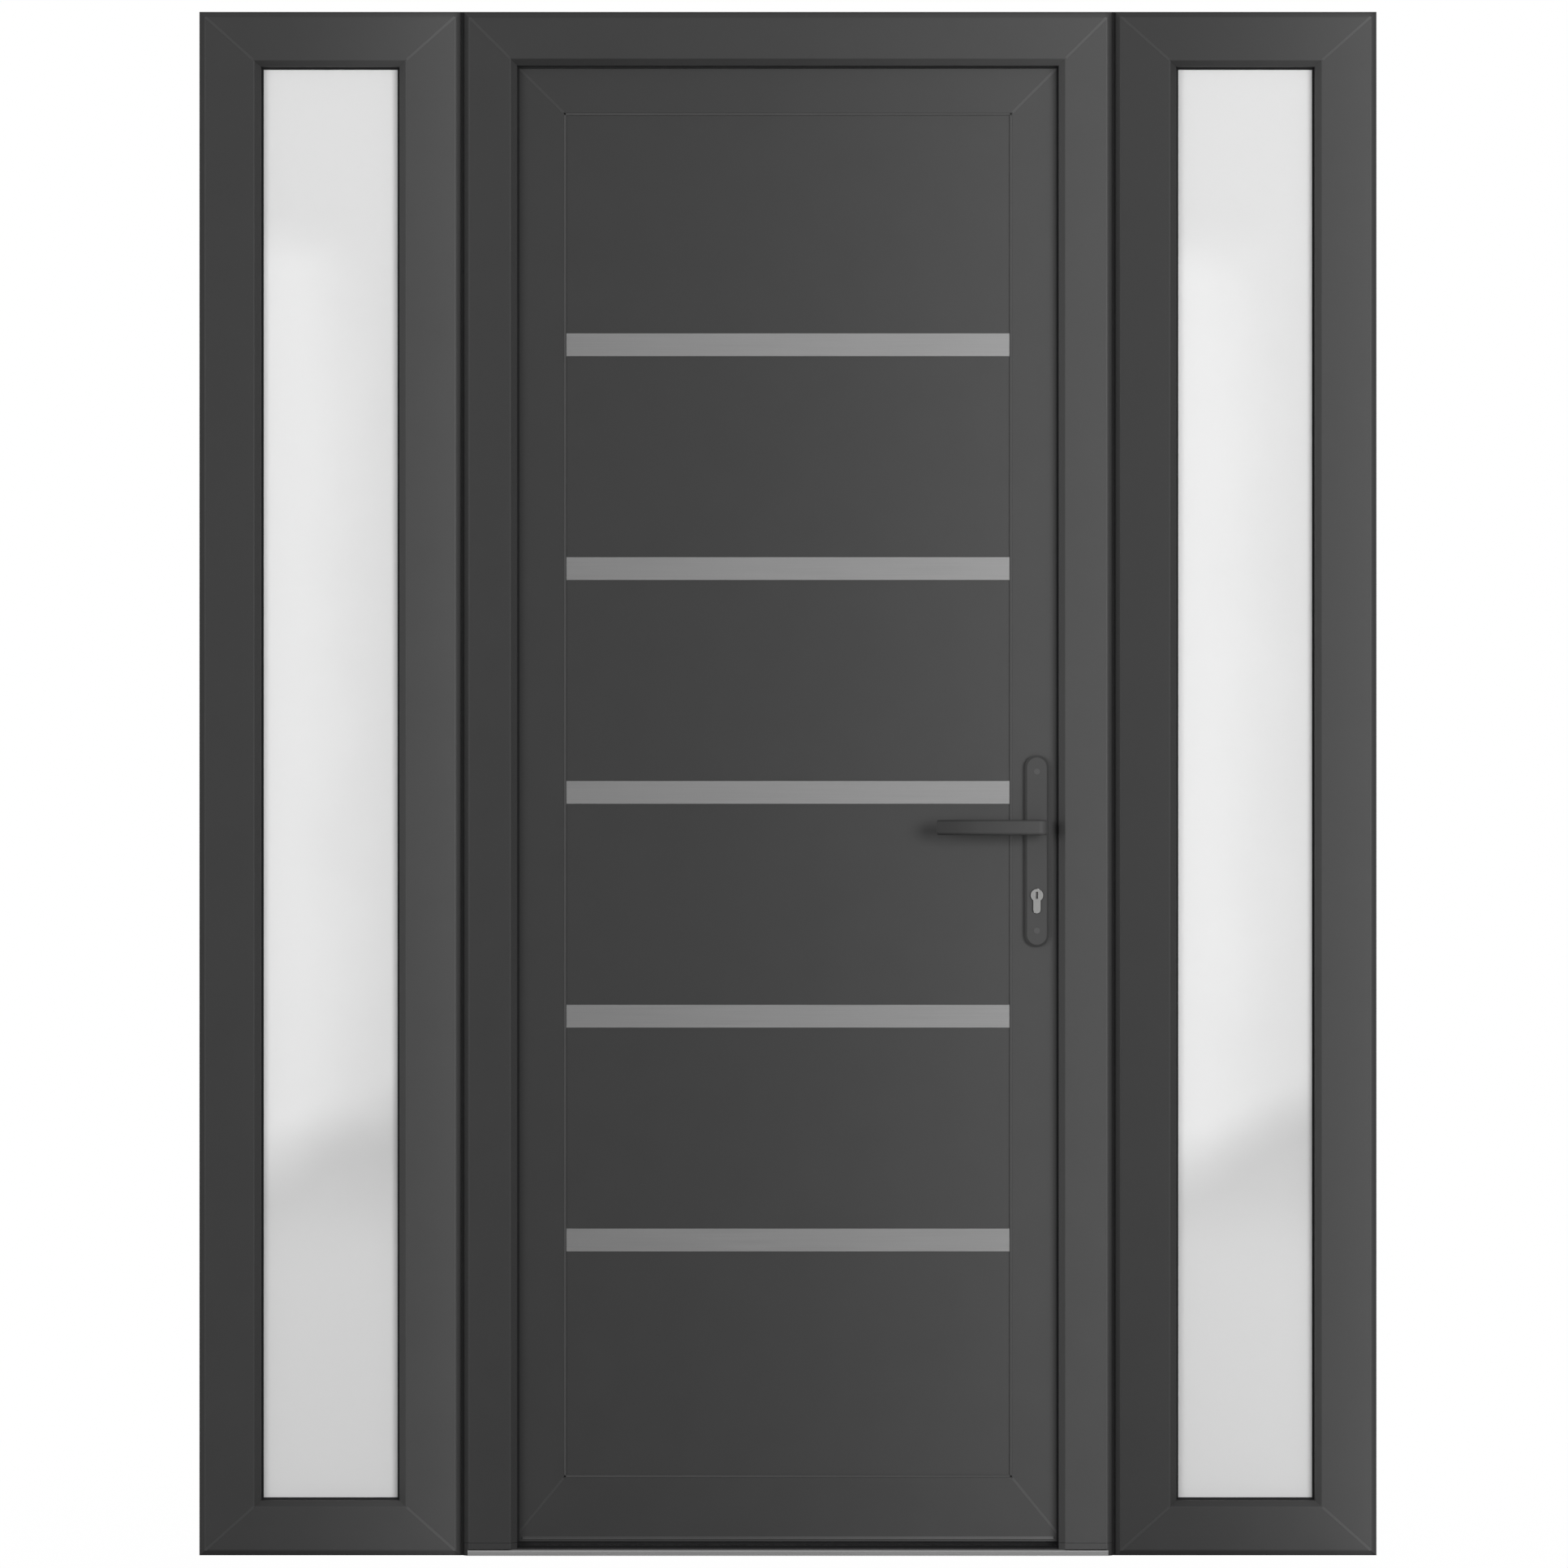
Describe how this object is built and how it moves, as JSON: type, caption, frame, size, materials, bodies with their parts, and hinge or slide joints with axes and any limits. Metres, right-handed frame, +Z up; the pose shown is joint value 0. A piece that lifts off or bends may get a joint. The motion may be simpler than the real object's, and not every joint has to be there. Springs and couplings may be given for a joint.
{
  "type": "upvc entrance door with two sidelights",
  "caption": "Grey framed exterior door with a flat panelled leaf, metal inlay strips and lever handle, set between tall glazed sidelights.",
  "frame": {"origin": "underside of the threshold at the middle of the frame's width and depth", "axes": "+Z up, +X along the wall with the handle side of the leaf on +X, -Y outdoors, +Y indoors"},
  "size_m": [1.594, 0.192, 2.09],
  "materials": {
    "grey_upvc": "smooth satin",
    "panel_skin": "smooth satin",
    "grey_trim": "moulded matt",
    "brushed_strip": "brushed along the length",
    "threshold_aluminium": "anodised",
    "spacer_aluminium": "anodised",
    "satin_glass": "satin, obscured",
    "black_gasket": "matt",
    "grey_powder_coat": "powder coated, fine texture",
    "nickel_cylinder": "satin nickel",
    "zinc_steel": "zinc plated"
  },
  "bodies": {
    "frame": {"couplers": "grey_trim", "frame_head": "grey_upvc", "frame_hinge_parts": "grey_powder_coat", "frame_seal": "black_gasket", "hinge_jamb": "grey_upvc", "left_sidelight_beads": "grey_upvc", "left_sidelight_gaskets": "black_gasket", "left_sidelight_glass": "satin_glass", "left_sidelight_head": "grey_upvc", "left_sidelight_inner_stile": "grey_upvc", "left_sidelight_outer_stile": "grey_upvc", "left_sidelight_sill": "grey_upvc", "left_sidelight_spacer": "spacer_aluminium", "lock_jamb": "grey_upvc", "lock_keeps": "zinc_steel", "right_sidelight_beads": "grey_upvc", "right_sidelight_gaskets": "black_gasket", "right_sidelight_glass": "satin_glass", "right_sidelight_head": "grey_upvc", "right_sidelight_inner_stile": "grey_upvc", "right_sidelight_outer_stile": "grey_upvc", "right_sidelight_sill": "grey_upvc", "right_sidelight_spacer": "spacer_aluminium", "threshold": "threshold_aluminium", "threshold_end_blocks": "grey_trim"},
    "leaf": {"hinge_stile": "grey_upvc", "lock_stile": "grey_upvc", "top_rail": "grey_upvc", "bottom_rail": "grey_upvc", "door_panel": "panel_skin", "panel_strips": "brushed_strip", "panel_gaskets": "black_gasket", "panel_beads": "grey_upvc", "leaf_seals": "black_gasket", "drip_lip": "grey_upvc", "leaf_hinge_parts": "grey_powder_coat", "lock_faceplate": "zinc_steel", "lock_bolts": "zinc_steel", "lock_cylinder": "nickel_cylinder", "outer_backplate": "grey_powder_coat", "inner_backplate": "grey_powder_coat"},
    "lever": {"outer_lever": "grey_powder_coat", "inner_lever": "grey_powder_coat", "spindle": "zinc_steel"},
    "plug": {"key_plug": "nickel_cylinder"}
  },
  "joints": [
    {"name": "leaf_hinge", "type": "hinge", "parent": "frame", "child": "leaf", "pos_m": [-0.4095, 0.051, 0], "axis": [0, 0, 1], "range_deg": [0, 100]},
    {"name": "lever_turn", "type": "hinge", "parent": "leaf", "child": "lever", "pos_m": [0.3373, 0, 0.9857], "axis": [0, -1, 0], "range_deg": [-45, 45], "stiffness_Nm_per_rad": 2, "springref_deg": -4.18},
    {"name": "plug_turn", "type": "hinge", "parent": "leaf", "child": "plug", "pos_m": [0.3373, 0, 0.8937], "axis": [0, -1, 0], "continuous": true}
  ]
}
